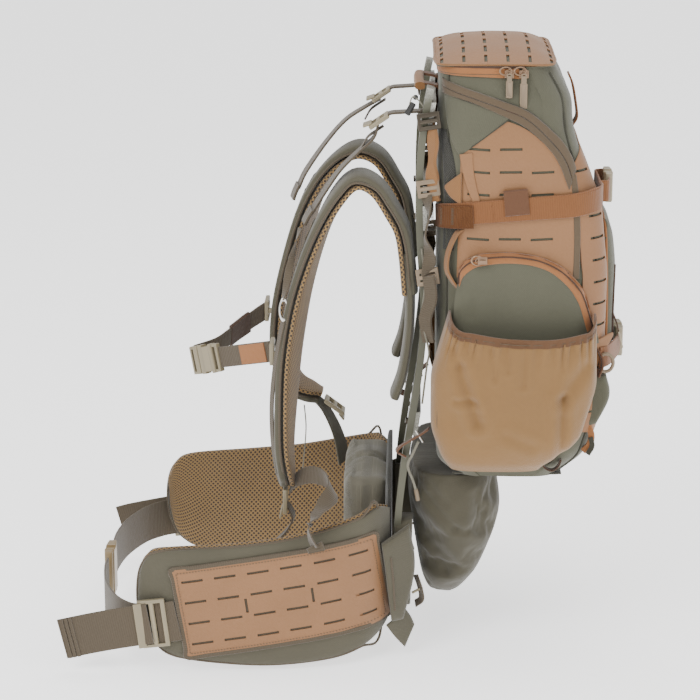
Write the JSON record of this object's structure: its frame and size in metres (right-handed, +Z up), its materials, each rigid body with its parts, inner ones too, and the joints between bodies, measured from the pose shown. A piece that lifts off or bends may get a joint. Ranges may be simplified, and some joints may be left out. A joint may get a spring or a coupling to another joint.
{
  "type": "hunting backpack",
  "caption": "External-frame hunting backpack with shoulder straps, padded hip belt, top-opening bag, side pockets and a sack below.",
  "frame": {"origin": "middle of the lumbar pad's face that rests on the wearer's lower back", "axes": "+X backwards, away from the wearer; +Y to the wearer's right; +Z up"},
  "size_m": [0.6543, 0.4073, 0.7116],
  "materials": {
    "olive_aluminium": "satin",
    "dark_steel": "satin",
    "black_plastic": "satin",
    "green_fabric": "woven",
    "tan_laminate": "smooth laminated cloth",
    "tan_fabric": "woven",
    "brown_elastic": "ribbed",
    "tan_plastic": "satin",
    "brown_webbing": "webbing",
    "grey_webbing": "webbing",
    "grey_fabric": "woven",
    "gold_mesh": "open mesh"
  },
  "bodies": {
    "root": {"bag_back_panel": "green_fabric", "bag_bottom": "green_fabric", "bag_rear_panel": "green_fabric", "bag_side_left": "green_fabric", "bag_side_right": "green_fabric", "belt_back": "grey_fabric", "belt_liners": "gold_mesh", "belt_panels": "tan_laminate", "belt_wing_left": "grey_fabric", "belt_wing_right": "grey_fabric", "bottle_pocket_left": "tan_fabric", "bottle_pocket_right": "tan_fabric", "compression_strap_left": "brown_webbing", "compression_strap_right": "brown_webbing", "frame_crossbars": "olive_aluminium", "frame_rail_left": "olive_aluminium", "frame_rail_right": "olive_aluminium", "frame_screws": "dark_steel", "frame_tie_locks": "tan_plastic", "frame_ties": "brown_webbing", "lid_zip_slider_rear": "tan_plastic", "lid_zip_tape": "tan_fabric", "lifter_locks": "tan_plastic", "lifter_webbing_rear": "grey_webbing", "load_sack": "grey_fabric", "lower_buckle_socket": "tan_plastic", "lower_straps": "brown_webbing", "lumbar_pad": "grey_fabric", "pocket_elastics": "brown_elastic", "rail_toggle": "black_plastic", "rear_pocket": "green_fabric", "side_laminates": "tan_laminate", "side_pocket_left": "green_fabric", "side_pocket_right": "green_fabric", "strap_rears": "grey_fabric", "upper_buckle_socket": "tan_plastic", "waist_buckle_socket": "tan_plastic", "waist_locks": "tan_plastic", "waist_webbing": "grey_webbing"},
    "lid": {"lid_flap": "tan_laminate"},
    "lid_slider": {"lid_zip_slider_front": "tan_plastic"},
    "front_pull": {"lid_zip_pull_front": "tan_plastic"},
    "rear_pull": {"lid_zip_pull_rear": "tan_plastic"},
    "pocket_slider_left": {"pocket_zip_slider_left": "tan_plastic"},
    "pocket_slider_right": {"pocket_zip_slider_right": "tan_plastic"},
    "haul_handle": {"haul_handle": "brown_webbing"},
    "harness": {"strap_front_left": "grey_fabric", "strap_front_right": "grey_fabric", "strap_liners": "gold_mesh", "lifter_webbing_front": "grey_webbing", "strap_locks": "tan_plastic", "strap_adjuster_webbing": "grey_webbing"},
    "sternum": {"sternum_sliders": "tan_plastic", "sternum_webbing": "grey_webbing", "sternum_buckle_socket": "tan_plastic"},
    "sternum_plug": {"sternum_buckle_plug": "tan_plastic"},
    "waist_plug": {"waist_buckle_plug": "tan_plastic"},
    "upper_plug": {"upper_buckle_plug": "tan_plastic"},
    "lower_plug": {"lower_buckle_plug": "tan_plastic"}
  },
  "joints": [
    {"name": "lid_hinge", "type": "hinge", "parent": "root", "child": "lid", "pos_m": [0.236, 0, 0.5366], "axis": [0, 1, 0], "range_deg": [0, 95]},
    {"name": "lid_zip_slide", "type": "slide", "parent": "root", "child": "lid_slider", "axis": [-1, 0, 0], "range_m": [0, 0.036]},
    {"name": "front_pull_hinge", "type": "hinge", "parent": "lid_slider", "child": "front_pull", "pos_m": [0.184, -0.12869, 0.52911], "axis": [-1, 0, 0], "range_deg": [0, 75]},
    {"name": "rear_pull_hinge", "type": "hinge", "parent": "root", "child": "rear_pull", "pos_m": [0.2, -0.12869, 0.52911], "axis": [-1, 0, 0], "range_deg": [0, 75]},
    {"name": "pocket_zip_left", "type": "slide", "parent": "root", "child": "pocket_slider_left", "axis": [1, 0, 0], "range_m": [0, 0.06]},
    {"name": "pocket_zip_right", "type": "slide", "parent": "root", "child": "pocket_slider_right", "axis": [1, 0, 0], "range_m": [0, 0.06]},
    {"name": "handle_hinge", "type": "hinge", "parent": "root", "child": "haul_handle", "pos_m": [0.1035, 0, 0.503], "axis": [0, 1, 0], "range_deg": [-20, 75]},
    {"name": "shoulder_swing", "type": "hinge", "parent": "root", "child": "harness", "pos_m": [0.067, 0, 0.344], "axis": [0, 1, 0], "range_deg": [-4, 12]},
    {"name": "sternum_slide", "type": "slide", "parent": "harness", "child": "sternum", "axis": [0.1191, 0, 0.9929], "range_m": [-0.02, 0.02]},
    {"name": "sternum_release", "type": "slide", "parent": "sternum", "child": "sternum_plug", "axis": [-0.7577, 0.6017, -0.2526], "range_m": [0, 0.03]},
    {"name": "waist_release", "type": "slide", "parent": "root", "child": "waist_plug", "axis": [0, 1, 0], "range_m": [0, 0.03]},
    {"name": "upper_release", "type": "slide", "parent": "root", "child": "upper_plug", "axis": [0, 1, 0], "range_m": [0, 0.025]},
    {"name": "lower_release", "type": "slide", "parent": "root", "child": "lower_plug", "axis": [0, 1, 0], "range_m": [0, 0.025]}
  ]
}
